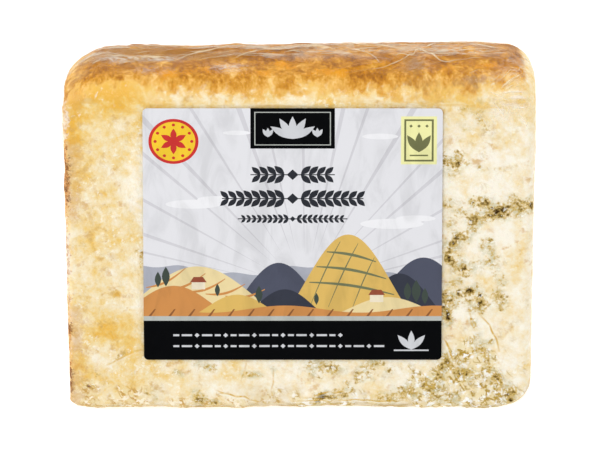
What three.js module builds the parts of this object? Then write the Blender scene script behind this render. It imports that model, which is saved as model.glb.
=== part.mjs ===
// A wedge of blue cheese in clear film, with a paper label: an eighth of half a wheel.
// Millimetres. +X runs along the wheel's own axis, from the crusted end at the left to the cut end at the
// right, +Y from the thin edge to the rind, and +Z up. The wedge lies on one cut face, and the label is on
// the other. The wheel's axis is the line y = 0, z = 0 while the wedge is being made; at the end the group
// is moved so that the origin is under the middle of its box.
import * as THREE from "three";
import { mergeVertices } from "three/addons/utils/BufferGeometryUtils.js";

const degrees = THREE.MathUtils.degToRad;

// ---- Driving dimensions ----
const WHEEL_RADIUS = 101; // from the wheel's axis to the rind
const WEDGE_ANGLE = degrees(45); // an eighth of a turn
const WEDGE_LENGTH = 119.5; // half the height of the wheel
const END_LEAN = { left: 1.5, right: 0.8 }; // how far each end leans in, from the rind to the thin edge
const END_DISH = 0.5; // how far the middle of each end lies in
const RIND_TAPER = 0.8; // how much less the rind stands out at the crusted end than at the cut end

const TIP_RADIUS = 5; // the thin edge, pressed round by the film
const RIDGE_RADIUS = 6; // between the rind and each cut face

// The round-over from the sides to each end, at the rind and elsewhere, and the radius of the corner that
// each end makes with the thin edge, seen from above.
const LEFT_ROUND = { rind: 12.5, face: 2.2 };
const RIGHT_ROUND = { rind: 8, face: 2.6 };
const THIN_CORNER = { left: 2.5, right: 9.5 };

// Unevenness of the soft cheese, as sums of noise: height and wavelength.
const BODY_LUMPS = [
  { height: 0.35, wavelength: 31 },
  { height: 0.22, wavelength: 9 },
];
const RIND_LUMPS = [
  { height: 0.4, wavelength: 24 },
  { height: 0.3, wavelength: 8 },
];
const TIP_CRUMBS = [{ height: 0.5, wavelength: 5 }];
const TIP_CRUMB_REACH = 22; // from the wheel's axis, the stretch that is crumbly
const FLOOR_FADE = 4; // height over which the unevenness dies out towards the flat base

// The main folds of the film over the rind. Each runs through points given as the place along X and the
// way round the rind from the upper ridge, and stands up as a low soft ridge.
const FILM_FOLDS = [
  { height: 0.9, path: [[10, 7], [22, 11], [29, 24], [34, 15], [41, 18], [51, 14], [56, 11]] },
  { height: 0.5, path: [[-52, 17], [-42, 21], [-34, 26], [-22, 33]] },
  { height: 0.35, path: [[-16, 21], [-5, 26], [6, 33], [18, 38]] },
  { height: 0.5, path: [[4, 34], [12, 27], [24, 19], [33, 16]] },
  { height: 0.3, path: [[-30, 44], [-6, 50], [20, 47], [44, 52]] },
];
const FOLD_WIDTH = 1.5; // half of a fold's foot

// The label, on the upper cut face. Its place along that face is measured from the wheel's axis.
const LABEL = { width: 75.3, height: 70.8, corner: 1.2, thickness: 0.4, centreX: -1.6, lowerEdge: 23 };
const LABEL_GAP = 0.3; // clear of the film under it
const LABEL_SEAT_FADE = 5; // the face is flat under the label, and uneven again this far from it

// ---- Mesh fineness ----
const STEPS = { tip: 4, face: 16, ridge: 4, rind: 34, length: 40, round: 4, end: 4 };

// ---- Helpers ----
const lerp = THREE.MathUtils.lerp;
const smoothstep = THREE.MathUtils.smoothstep;

// A number from 0 to 1 for each corner of a whole-number grid.
function cornerValue(i, j, k) {
  const mixed = Math.sin(i * 127.1 + j * 311.7 + k * 74.7) * 43758.5453;
  return mixed - Math.floor(mixed);
}

// Smooth noise from -1 to 1: corner values blended with an ease curve.
function noise(x, y, z) {
  const [i, j, k] = [Math.floor(x), Math.floor(y), Math.floor(z)];
  const ease = (t) => t * t * (3 - 2 * t);
  const [u, v, w] = [ease(x - i), ease(y - j), ease(z - k)];
  const row = (b, c) => lerp(cornerValue(i, j + b, k + c), cornerValue(i + 1, j + b, k + c), u);
  const sheet = (c) => lerp(row(0, c), row(1, c), v);
  return 2 * lerp(sheet(0), sheet(1), w) - 1;
}

function lumps(list, x, y, z) {
  let sum = 0;
  for (const { height, wavelength } of list) {
    sum += height * noise(x / wavelength, y / wavelength, z / wavelength);
  }
  return sum;
}

// ---- The wedge's section, across X ----

// Stations round the section, starting in the middle of the thin edge and going along the lower cut face,
// round the rind and back along the upper cut face. Each holds its place (y, z), its outward direction and
// the part of the section it belongs to.
function sectionStations() {
  const half = WEDGE_ANGLE / 2;
  const stations = [];
  const add = (y, z, angle, part) => {
    stations.push({ y, z, ny: Math.cos(angle), nz: Math.sin(angle), part });
  };
  const arc = (cy, cz, radius, from, to, steps, part) => {
    for (let i = 0; i < steps; i++) {
      const angle = lerp(from, to, i / steps);
      add(cy + radius * Math.cos(angle), cz + radius * Math.sin(angle), angle, part);
    }
  };
  const down = -Math.PI / 2; // outward from the lower cut face
  const up = WEDGE_ANGLE + Math.PI / 2; // outward from the upper cut face

  const tipReach = TIP_RADIUS / Math.tan(half);
  const tip = [tipReach, TIP_RADIUS];
  // A ridge's round runs into both the cut face and the rind, so its centre is this far along the face.
  const ridgeReach = Math.sqrt((WHEEL_RADIUS - RIDGE_RADIUS) ** 2 - RIDGE_RADIUS ** 2);
  const rindFrom = Math.atan2(RIDGE_RADIUS, ridgeReach);
  const rindTo = WEDGE_ANGLE - rindFrom;

  const tipMiddle = half + Math.PI;
  arc(...tip, TIP_RADIUS, tipMiddle, 2 * Math.PI + down, STEPS.tip, "tip");
  for (let i = 0; i < STEPS.face; i++) {
    add(lerp(tipReach, ridgeReach, i / STEPS.face), 0, down, "base");
  }
  arc(ridgeReach, RIDGE_RADIUS, RIDGE_RADIUS, down, rindFrom, STEPS.ridge, "rind");
  arc(0, 0, WHEEL_RADIUS, rindFrom, rindTo, STEPS.rind, "rind");
  arc(...onUpperFace(ridgeReach, -RIDGE_RADIUS), RIDGE_RADIUS, rindTo, up, STEPS.ridge, "rind");
  for (let i = 0; i < STEPS.face; i++) {
    add(...onUpperFace(lerp(ridgeReach, tipReach, i / STEPS.face), 0), up, "top");
  }
  arc(...tip, TIP_RADIUS, up, tipMiddle, STEPS.tip, "tip");
  return stations;
}

// The place at a distance along the upper cut face from the wheel's axis, and a height off that face.
function onUpperFace(along, off) {
  const [c, s] = [Math.cos(WEDGE_ANGLE), Math.sin(WEDGE_ANGLE)];
  return [along * c - off * s, along * s + off * c];
}

// The place on the section's middle line that a point is drawn in towards, kept off both ends of that line.
function middlePlace({ y, z }) {
  const half = WEDGE_ANGLE / 2;
  const along = y * Math.cos(half) + z * Math.sin(half);
  const kept = THREE.MathUtils.clamp(along, 0.24 * WHEEL_RADIUS, 0.8 * WHEEL_RADIUS);
  return [kept * Math.cos(half), kept * Math.sin(half)];
}

// The round-over to an end at a station.
function endRound(sizes, { y, z }) {
  const rindShare = smoothstep(Math.hypot(y, z), WHEEL_RADIUS - 9, WHEEL_RADIUS);
  return lerp(sizes.face, sizes.rind, rindShare);
}

// How far an end stands in from its full length at a distance from the wheel's axis: it leans in towards
// the thin edge, and its corner there is round.
function endRetreat(side, fromAxis) {
  const edge = TIP_RADIUS / Math.sin(WEDGE_ANGLE / 2) - TIP_RADIUS;
  const corner = THIN_CORNER[side];
  const into = THREE.MathUtils.clamp(1 - (fromAxis - edge) / corner, 0, 1);
  return END_LEAN[side] * (1 - fromAxis / WHEEL_RADIUS) + corner * (1 - Math.sqrt(1 - into * into));
}

// ---- The wrapped wedge ----

// The height of the film's folds above the rind, at a place along X and a way round from the upper ridge.
function foldHeight(x, round) {
  let highest = 0;
  for (const { height, path } of FILM_FOLDS) {
    for (let i = 0; i + 1 < path.length; i++) {
      const away = distanceToStretch(x, round, path[i], path[i + 1]) / FOLD_WIDTH;
      highest = Math.max(highest, height * Math.exp(-away * away));
    }
  }
  return highest;
}

function distanceToStretch(x, y, [ax, ay], [bx, by]) {
  const [dx, dy] = [bx - ax, by - ay];
  const share = ((x - ax) * dx + (y - ay) * dy) / (dx * dx + dy * dy);
  const t = THREE.MathUtils.clamp(share, 0, 1);
  return Math.hypot(x - ax - t * dx, y - ay - t * dy);
}

// 1 where the face is free to be uneven, 0 under the label.
function clearOfLabel(x, along) {
  const pastSide = Math.abs(x - LABEL.centreX) - LABEL.width / 2;
  const pastEnd = Math.abs(along - LABEL.lowerEdge - LABEL.height / 2) - LABEL.height / 2;
  return smoothstep(Math.max(pastSide, pastEnd), 0.5, LABEL_SEAT_FADE);
}

// How far the surface stands off the plain wedge at a point.
function unevenness(x, y, z, part) {
  const fromAxis = Math.hypot(y, z);
  const rindShare = smoothstep(fromAxis, WHEEL_RADIUS - 12, WHEEL_RADIUS);
  const tipShare = 1 - smoothstep(fromAxis, 0.5 * TIP_CRUMB_REACH, TIP_CRUMB_REACH);
  let off = lumps(BODY_LUMPS, x, y, z);
  off += rindShare * (lumps(RIND_LUMPS, x, y, z) - RIND_TAPER * (0.5 - x / WEDGE_LENGTH));
  off += tipShare * lumps(TIP_CRUMBS, x, y, z);
  if (part === "rind") {
    off += foldHeight(x, (WEDGE_ANGLE - Math.atan2(z, y)) * WHEEL_RADIUS);
  }
  if (part === "top") off *= clearOfLabel(x, fromAxis);
  return off * smoothstep(z, 0, FLOOR_FADE);
}

// One ring of points round the section. place(station) gives x, the inset towards the middle line and the
// share of the way that the ring has closed over the end.
function ring(stations, place) {
  return stations.map((station) => {
    const { x, inset, closed } = place(station);
    const [my, mz] = middlePlace(station);
    const reach = Math.hypot(my - station.y, mz - station.z);
    const share = lerp(inset / reach, 1, closed);
    const [y, z] = [lerp(station.y, my, share), lerp(station.z, mz, share)];
    const retreat = endRetreat(x < 0 ? "left" : "right", Math.hypot(y, z));
    const leant = x * (1 - retreat / (WEDGE_LENGTH / 2));
    const off = unevenness(leant, y, z, station.part) * (1 - share);
    const bulge = (lumps(BODY_LUMPS, leant, y, z) - END_DISH) * share * Math.sign(x);
    return [leant + bulge, y + off * station.ny, z + off * station.nz];
  });
}

function wedgeRings() {
  const stations = sectionStations();
  const rings = [];
  const end = WEDGE_LENGTH / 2;
  // side is -1 at the left end and 1 at the right; turn goes from 0 on the side to 1 on the end.
  const rounded = (side, sizes, turn) => (station) => {
    const radius = endRound(sizes, station);
    const angle = (turn * Math.PI) / 2;
    const x = side * (end - radius * (1 - Math.sin(angle)));
    return { x, inset: radius * (1 - Math.cos(angle)), closed: 0 };
  };
  const capped = (side, sizes, closed) => (station) => {
    return { x: side * end, inset: endRound(sizes, station), closed };
  };

  for (let i = 0; i < STEPS.end; i++) {
    rings.push(ring(stations, capped(-1, LEFT_ROUND, 1 - i / STEPS.end)));
  }
  for (let i = 0; i < STEPS.round; i++) {
    rings.push(ring(stations, rounded(-1, LEFT_ROUND, 1 - i / STEPS.round)));
  }
  for (let i = 0; i <= STEPS.length; i++) {
    const along = i / STEPS.length;
    rings.push(
      ring(stations, (station) => {
        const left = endRound(LEFT_ROUND, station) - end;
        const right = end - endRound(RIGHT_ROUND, station);
        return { x: lerp(left, right, along), inset: 0, closed: 0 };
      }),
    );
  }
  for (let i = 1; i <= STEPS.round; i++) {
    rings.push(ring(stations, rounded(1, RIGHT_ROUND, i / STEPS.round)));
  }
  for (let i = 1; i <= STEPS.end; i++) {
    rings.push(ring(stations, capped(1, RIGHT_ROUND, i / STEPS.end)));
  }
  return rings;
}

// Joins neighbouring rings with triangles. The first and last rings have closed to a line.
function skin(rings) {
  const count = rings[0].length;
  const index = [];
  for (let r = 0; r + 1 < rings.length; r++) {
    for (let s = 0; s < count; s++) {
      const [a, b] = [r * count + s, r * count + ((s + 1) % count)];
      const [c, d] = [a + count, b + count];
      index.push(a, b, c, b, d, c);
    }
  }
  const geometry = new THREE.BufferGeometry();
  geometry.setAttribute("position", new THREE.Float32BufferAttribute(rings.flat(2), 3));
  geometry.setIndex(index);
  return withoutSlivers(mergeVertices(geometry, 1e-3));
}

// Drops the triangles that lost a corner when the ends closed.
function withoutSlivers(geometry) {
  const from = geometry.index.array;
  const kept = [];
  for (let i = 0; i < from.length; i += 3) {
    const [a, b, c] = from.slice(i, i + 3);
    if (a !== b && b !== c && c !== a) kept.push(a, b, c);
  }
  geometry.setIndex(kept);
  geometry.computeVertexNormals();
  return geometry;
}

function wrappedWedge() {
  const material = new THREE.MeshStandardMaterial({ color: 0xf0dcb4, roughness: 0.3, metalness: 0 });
  const mesh = new THREE.Mesh(skin(wedgeRings()), material);
  mesh.name = "wrapped_wedge";
  return mesh;
}

// ---- The label ----

function label() {
  const { width, height, corner, thickness, centreX, lowerEdge } = LABEL;
  const [w, h] = [width / 2 - corner, height / 2 - corner];
  const outline = new THREE.Shape();
  outline.absarc(w, h, corner, 0, degrees(90));
  outline.absarc(-w, h, corner, degrees(90), degrees(180));
  outline.absarc(-w, -h, corner, degrees(180), degrees(270));
  outline.absarc(w, -h, corner, degrees(270), degrees(360));
  const geometry = new THREE.ExtrudeGeometry(outline, {
    depth: thickness,
    bevelEnabled: false,
    curveSegments: 4,
  });
  const material = new THREE.MeshStandardMaterial({ color: 0xdcdbdf, roughness: 0.35, metalness: 0 });
  const mesh = new THREE.Mesh(geometry, material);
  mesh.name = "label";
  mesh.rotation.x = WEDGE_ANGLE;
  mesh.position.set(centreX, ...onUpperFace(lowerEdge + height / 2, LABEL_GAP));
  return mesh;
}

// ---- The object ----

const cheese = new THREE.Group();
cheese.name = "blue_cheese_wedge";
cheese.add(wrappedWedge(), label());

const box = new THREE.Box3().setFromObject(cheese, true);
const middle = box.getCenter(new THREE.Vector3());
cheese.position.set(-middle.x, -middle.y, -box.min.z);

export default cheese;
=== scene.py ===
"""A wedge of blue cheese in clear film, with a paper label, lying on one of its cut faces.

Shapes are worked out in millimetres in the wheel's own frame: x along the wheel's axis, y and z out from it,
with the lower cut face at z = 0. in_row_frame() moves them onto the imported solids, in metres.
"""
import math
import random
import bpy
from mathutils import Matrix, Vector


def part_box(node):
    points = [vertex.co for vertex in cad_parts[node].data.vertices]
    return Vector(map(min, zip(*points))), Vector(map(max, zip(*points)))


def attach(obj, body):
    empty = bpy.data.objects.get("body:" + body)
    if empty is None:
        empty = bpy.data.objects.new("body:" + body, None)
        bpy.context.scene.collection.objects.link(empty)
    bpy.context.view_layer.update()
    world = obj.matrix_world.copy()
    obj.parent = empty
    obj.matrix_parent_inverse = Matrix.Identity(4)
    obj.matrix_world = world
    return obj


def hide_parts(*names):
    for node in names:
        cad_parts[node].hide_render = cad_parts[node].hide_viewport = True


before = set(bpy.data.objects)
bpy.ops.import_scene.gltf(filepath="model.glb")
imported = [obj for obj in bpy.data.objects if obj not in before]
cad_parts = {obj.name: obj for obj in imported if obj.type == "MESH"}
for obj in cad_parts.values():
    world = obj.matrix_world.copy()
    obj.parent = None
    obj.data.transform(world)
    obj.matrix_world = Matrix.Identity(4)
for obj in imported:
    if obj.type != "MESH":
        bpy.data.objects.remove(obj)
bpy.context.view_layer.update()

from types import SimpleNamespace

import bpy
import numpy as np
from mathutils import Vector
from mathutils.bvhtree import BVHTree
from mathutils.geometry import delaunay_2d_cdt

MM = 0.001

# ---- The wedge's sizes, in millimetres ----
WHEEL_RADIUS = 101.0
WEDGE_ANGLE = math.radians(45)
WEDGE_LENGTH = 119.5
END_LEAN = {"left": 1.5, "right": 0.8}
END_DISH = 0.5
RIND_TAPER = 0.8
TIP_RADIUS = 5.0
RIDGE_RADIUS = 6.0
LEFT_ROUND = {"rind": 12.5, "face": 2.2}
RIGHT_ROUND = {"rind": 8.0, "face": 2.6}
THIN_CORNER = {"left": 2.5, "right": 9.5}

# Unevenness of the soft cheese, as sums of noise: height and wavelength.
BODY_LUMPS = [(0.35, 31.0), (0.22, 9.0)]
RIND_LUMPS = [(0.4, 24.0), (0.3, 8.0)]
TIP_CRUMBS = [(0.5, 5.0)]
TIP_CRUMB_REACH = 22.0
FLOOR_FADE = 4.0

# The film's main folds over the rind: height, and points as the place along X and the way round the rind
# from the upper ridge.
FILM_FOLDS = [
    (0.9, [(10, 7), (22, 11), (29, 24), (34, 15), (41, 18), (51, 14), (56, 11)]),
    (0.5, [(-52, 17), (-42, 21), (-34, 26), (-22, 33)]), (0.35, [(-16, 21), (-5, 26), (6, 33), (18, 38)]),
    (0.5, [(4, 34), (12, 27), (24, 19), (33, 16)]), (0.3, [(-30, 44), (-6, 50), (20, 47), (44, 52)]),
]
FOLD_WIDTH = 1.5

# The label's place on the upper cut face, measured from the wheel's axis.
LABEL_WIDTH = 75.3
LABEL_HEIGHT = 70.8
LABEL_CORNER = 1.2
LABEL_THICKNESS = 0.4
LABEL_GAP = 0.3
LABEL_CENTRE_X = -1.6
LABEL_LOWER_EDGE = 23.0
LABEL_SEAT_FADE = 5.0

CHEESE_INSET = 0.25  # the cheese lies this far inside the film
FILM_OFF_FLOOR = 0.02
END_ROUND_BLEND = 9.0  # how far inside the rind an end's round-over starts to change from the face's
RIND_BLEND = 12.0  # how far inside the rind its unevenness starts
CAP_LINE = (0.24, 0.8)  # the line that an end's rings close in on, from and to, as shares of the radius
WELD_DISTANCE = 1e-4

COS = math.cos(WEDGE_ANGLE)
SIN = math.sin(WEDGE_ANGLE)


# ---- Small helpers ----


def smoothstep(value, low, high):
    t = np.clip((value - low) / (high - low), 0.0, 1.0)
    return t * t * (3 - 2 * t)


def fade(value, low, high):
    """1 up to low, and eased down to 0 at high."""
    return 1 - smoothstep(value, low, high)


def lerp(a, b, share):
    return a + (b - a) * share


def corner_value(i, j, k):
    """A number from 0 to 1 for each corner of a whole-number grid."""
    mixed = np.sin(i * 127.1 + j * 311.7 + k * 74.7) * 43758.5453
    return mixed - np.floor(mixed)


def noise(x, y, z):
    """Smooth noise from -1 to 1: corner values blended with an ease curve."""
    i, j, k = np.floor(x), np.floor(y), np.floor(z)
    u, v, w = ((t * t * (3 - 2 * t)) for t in (x - i, y - j, z - k))

    def row(b, c):
        return lerp(corner_value(i, j + b, k + c), corner_value(i + 1, j + b, k + c), u)

    def sheet(c):
        return lerp(row(0, c), row(1, c), v)

    return 2 * lerp(sheet(0), sheet(1), w) - 1


def lumps(at, heights):
    x, y, z = at
    return sum(h * noise(x / wave, y / wave, z / wave) for h, wave in heights)


def grain(at, wave, seed):
    """Noise of one wavelength, moved by seed so that two of them don't match."""
    x, y, z = at
    return noise(x / wave + 17.3 * seed, y / wave - 9.1 * seed, z / wave + 5.7 * seed)


def patches(x, way, places):
    """The sum of soft round patches: (place along x, place along way, reach along and across, strength)."""
    total = np.zeros(np.shape(x))
    for px, pw, reach, across, strength in places:
        total += strength * np.exp(-(((x - px) / reach) ** 2 + ((way - pw) / across) ** 2))
    return total


def by_line(x, y, start, end):
    """How far along a straight line the place nearest to (x, y) is, from 0 to 1, and how far off it is."""
    (ax, ay), (bx, by) = start, end
    dx, dy = bx - ax, by - ay
    t = np.clip(((x - ax) * dx + (y - ay) * dy) / (dx * dx + dy * dy), 0, 1)
    return t, np.hypot(x - ax - t * dx, y - ay - t * dy)


def distance_to_path(x, y, path):
    return np.minimum.reduce([by_line(x, y, start, end)[1] for start, end in zip(path, path[1:])])


def around(x, y, reach, degrees):
    """The point at a distance from (x, y), in a direction."""
    return x + reach * math.cos(math.radians(degrees)), y + reach * math.sin(math.radians(degrees))


def on_upper_face(along, off):
    """(y, z) at a distance along the upper cut face from the wheel's axis, and a height off that face."""
    return along * COS - off * SIN, along * SIN + off * COS


def by_upper_face(y, z):
    """How far along the upper cut face a point lies from the wheel's axis, and how deep under that face."""
    return y * COS + z * SIN, y * SIN - z * COS


def axis_place():
    """Where the wheel's axis lies in the row frame, in mm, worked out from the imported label."""
    low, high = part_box("label")
    middle = (low + high) / 2 / MM
    y, z = on_upper_face(LABEL_LOWER_EDGE + LABEL_HEIGHT / 2, LABEL_GAP + LABEL_THICKNESS / 2)
    return np.array([middle.x - LABEL_CENTRE_X, middle.y - y, middle.z - z])


AXIS = axis_place()


def in_row_frame(points):
    return (np.asarray(points, float) + AXIS) * MM


def in_scene(name, data):
    made = bpy.data.objects.new(name, data)
    bpy.context.scene.collection.objects.link(made)
    return made


# ---- The wedge's skin, as a grid of rings and stations ----


def section(steps):
    """Stations round the section, from the middle of the thin edge along the lower cut face, round the rind
    and back along the upper cut face: their places, outward directions and parts of the section."""
    half = WEDGE_ANGLE / 2
    down = -math.pi / 2
    up = WEDGE_ANGLE + math.pi / 2
    tip_middle = half + math.pi
    tip = (TIP_RADIUS / math.tan(half), TIP_RADIUS)
    ridge_reach = math.sqrt((WHEEL_RADIUS - RIDGE_RADIUS) ** 2 - RIDGE_RADIUS**2)
    upper_ridge = on_upper_face(ridge_reach, -RIDGE_RADIUS)
    rind_from = math.atan2(RIDGE_RADIUS, ridge_reach)
    rind_to = WEDGE_ANGLE - rind_from

    def arc(centre, radius, start, stop, count, part):
        angle = np.linspace(start, stop, count, endpoint=False)
        y, z = centre[0] + radius * np.cos(angle), centre[1] + radius * np.sin(angle)
        return y, z, np.cos(angle), np.sin(angle), [part] * count

    def flat(place, share, angle, part):
        y, z = place(lerp(tip[0], ridge_reach, share))
        one = np.ones_like(share)
        return y, z, math.cos(angle) * one, math.sin(angle) * one, [part] * len(share)

    # Crowding above 1 sets the stations on a cut face closer together towards the thin edge.
    out = np.linspace(0, 1, steps.base, endpoint=False) ** steps.crowding
    back = np.linspace(1, 0, steps.top, endpoint=False) ** steps.crowding
    stretches = [
        arc(tip, TIP_RADIUS, tip_middle, 2 * math.pi + down, steps.tip, "tip"),
        flat(lambda along: (along, 0 * along), out, down, "base"),
        arc((ridge_reach, RIDGE_RADIUS), RIDGE_RADIUS, down, rind_from, steps.ridge, "rind"),
        arc((0, 0), WHEEL_RADIUS, rind_from, rind_to, steps.rind, "rind"),
        arc(upper_ridge, RIDGE_RADIUS, rind_to, up, steps.ridge, "rind"),
        flat(lambda along: on_upper_face(along, 0), back, up, "top"),
        arc(tip, TIP_RADIUS, up, tip_middle, steps.tip, "tip"),
    ]
    y, z, ny, nz, part = (np.concatenate(values) for values in zip(*stretches))
    return SimpleNamespace(y=y, z=z, ny=ny, nz=nz, part=part)


def end_round(sizes, s):
    """The round-over to an end at each station."""
    rind_share = smoothstep(np.hypot(s.y, s.z), WHEEL_RADIUS - END_ROUND_BLEND, WHEEL_RADIUS)
    return lerp(sizes["face"], sizes["rind"], rind_share)


def end_retreat(side, from_axis):
    """How far an end stands in from its full length: it leans in towards the thin edge, and its corner
    there is round."""
    edge = TIP_RADIUS / math.sin(WEDGE_ANGLE / 2) - TIP_RADIUS
    corner = THIN_CORNER[side]
    into = np.clip(1 - (from_axis - edge) / corner, 0, 1)
    return END_LEAN[side] * (1 - from_axis / WHEEL_RADIUS) + corner * (1 - np.sqrt(1 - into * into))


def fold_height(x, way_round):
    highest = np.zeros(np.shape(x))
    for height, path in FILM_FOLDS:
        away = distance_to_path(x, way_round, path) / FOLD_WIDTH
        highest = np.maximum(highest, height * np.exp(-away * away))
    return highest


def clear_of_label(x, along):
    """1 where the face is free to be uneven, 0 under the label."""
    past_side = np.abs(x - LABEL_CENTRE_X) - LABEL_WIDTH / 2
    past_end = np.abs(along - LABEL_LOWER_EDGE - LABEL_HEIGHT / 2) - LABEL_HEIGHT / 2
    return smoothstep(np.maximum(past_side, past_end), 0.5, LABEL_SEAT_FADE)


def way_round_rind(y, z):
    return (WEDGE_ANGLE - np.arctan2(z, y)) * WHEEL_RADIUS


def rind_taper(x):
    """How much less the rind stands out here than at the cut end."""
    return RIND_TAPER * (0.5 - x / WEDGE_LENGTH)


def unevenness(at, part, folded):
    """How far the surface stands off the plain wedge. Only the film has the folds."""
    x, y, z = at
    from_axis = np.hypot(y, z)
    rind_share = smoothstep(from_axis, WHEEL_RADIUS - RIND_BLEND, WHEEL_RADIUS)
    tip_share = fade(from_axis, 0.5 * TIP_CRUMB_REACH, TIP_CRUMB_REACH)
    off = lumps(at, BODY_LUMPS)
    off += rind_share * (lumps(at, RIND_LUMPS) - rind_taper(x))
    off += tip_share * lumps(at, TIP_CRUMBS)
    if folded:
        off += np.where(part == "rind", fold_height(x, way_round_rind(y, z)), 0)
    off *= np.where(part == "top", clear_of_label(x, from_axis), 1)
    return off * smoothstep(z, 0, FLOOR_FADE)


def skin_rings(steps, s):
    """The rings from the left end to the right. For every station of each: its place along X, and how far
    in it stands. For each ring: how far it has closed, its end, and how far it has turned to that end."""
    end = WEDGE_LENGTH / 2
    sizes = {-1: end_round(LEFT_ROUND, s), 1: end_round(RIGHT_ROUND, s)}
    rings = []

    def cap(side, closed):
        rings.append((side * end + 0 * s.y, sizes[side], closed, side, 1.0))

    def rounded(side, turn):
        angle = turn * math.pi / 2
        x = side * (end - sizes[side] * (1 - math.sin(angle)))
        rings.append((x, sizes[side] * (1 - math.cos(angle)), 0.0, side, turn))

    for i in range(steps.left_end):
        cap(-1, 1 - i / steps.left_end)
    for i in range(steps.round):
        rounded(-1, 1 - i / steps.round)
    for share in np.linspace(0, 1, steps.length + 1):
        rings.append((lerp(sizes[-1] - end, end - sizes[1], share), 0 * s.y, 0.0, 0, 0.0))
    for i in range(1, steps.round + 1):
        rounded(1, i / steps.round)
    for i in range(1, steps.right_end + 1):
        cap(1, i / steps.right_end)

    x, inset = (np.array([ring[i] for ring in rings]) for i in (0, 1))
    closed, side, turn = (np.array([[ring[i]] for ring in rings], float) for i in (2, 3, 4))
    return x, inset, closed, side, turn


def wedge_grid(steps, folded):
    """The wedge's skin as rings of stations: places, outward directions and each station's part."""
    s = section(steps)
    x, inset, closed, side, turn = skin_rings(steps, s)
    # The rings of an end close in on a line in the middle of the section.
    half = WEDGE_ANGLE / 2
    start, stop = (share * WHEEL_RADIUS for share in CAP_LINE)
    kept = np.clip(s.y * math.cos(half) + s.z * math.sin(half), start, stop)
    middle_y, middle_z = kept * math.cos(half), kept * math.sin(half)
    share = lerp(inset / np.hypot(middle_y - s.y, middle_z - s.z), 1, closed)
    y, z = lerp(s.y, middle_y, share), lerp(s.z, middle_z, share)
    from_axis = np.hypot(y, z)
    retreat = np.where(x < 0, end_retreat("left", from_axis), end_retreat("right", from_axis))
    x = x * (1 - retreat / (WEDGE_LENGTH / 2))
    part = np.broadcast_to(s.part, x.shape)
    off = unevenness((x, y, z), part, folded) * (1 - share)
    bulge = (lumps((x, y, z), BODY_LUMPS) - END_DISH) * share * np.sign(x)
    places = np.stack([x + bulge, y + off * s.ny, z + off * s.nz], axis=-1)
    along, across = side * np.sin(turn * math.pi / 2), np.cos(turn * math.pi / 2)
    outward = np.stack([along + 0 * x, across * s.ny, across * s.nz], axis=-1)
    return SimpleNamespace(places=places, outward=outward, part=part)


def grid_triangles(rings, stations):
    """Two triangles between each pair of neighbouring rings and stations."""
    r, s = np.meshgrid(np.arange(rings - 1), np.arange(stations), indexing="ij")
    a = (r * stations + s).ravel()
    b = (r * stations + (s + 1) % stations).ravel()
    c, d = a + stations, b + stations
    return np.concatenate([np.stack([a, b, c], 1), np.stack([b, d, c], 1)])


def welded(places, triangles, values):
    """Joins points that meet, as where an end closes, and drops triangles that lost a corner."""
    keys = np.round(places / WELD_DISTANCE).astype(np.int64)
    _, first, joined = np.unique(keys, axis=0, return_index=True, return_inverse=True)
    triangles = joined.ravel()[triangles]
    a, b, c = triangles.T
    whole = (a != b) & (b != c) & (c != a)
    return places[first], triangles[whole], {name: value[first] for name, value in values.items()}


def new_mesh(name, places, triangles, values=None, smooth=True):
    """A mesh object from points in mm in the wheel's frame, with a float attribute for each of values."""
    mesh = bpy.data.meshes.new(name)
    mesh.from_pydata(in_row_frame(places), [], np.asarray(triangles).tolist())
    for key, value in (values or {}).items():
        attribute = mesh.attributes.new(key, "FLOAT", "POINT")
        attribute.data.foreach_set("value", np.ascontiguousarray(value, np.float32))
    mesh.polygons.foreach_set("use_smooth", [smooth] * len(mesh.polygons))
    mesh.update()
    return in_scene(name, mesh)


def apply_modifiers(piece):
    evaluated = piece.evaluated_get(bpy.context.evaluated_depsgraph_get())
    mesh = bpy.data.meshes.new_from_object(evaluated)
    mesh.name = piece.name
    piece.modifiers.clear()
    piece.data = mesh


# ---- The cheese ----

CHEESE_STEPS = SimpleNamespace(
    tip=8, base=36, top=190, crowding=1.15, ridge=11, rind=94, round=9, length=230, left_end=18, right_end=40
)
HIDDEN_KEPT = 0.75  # the share of the cheese's triangles left once those that never show are thinned out

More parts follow.
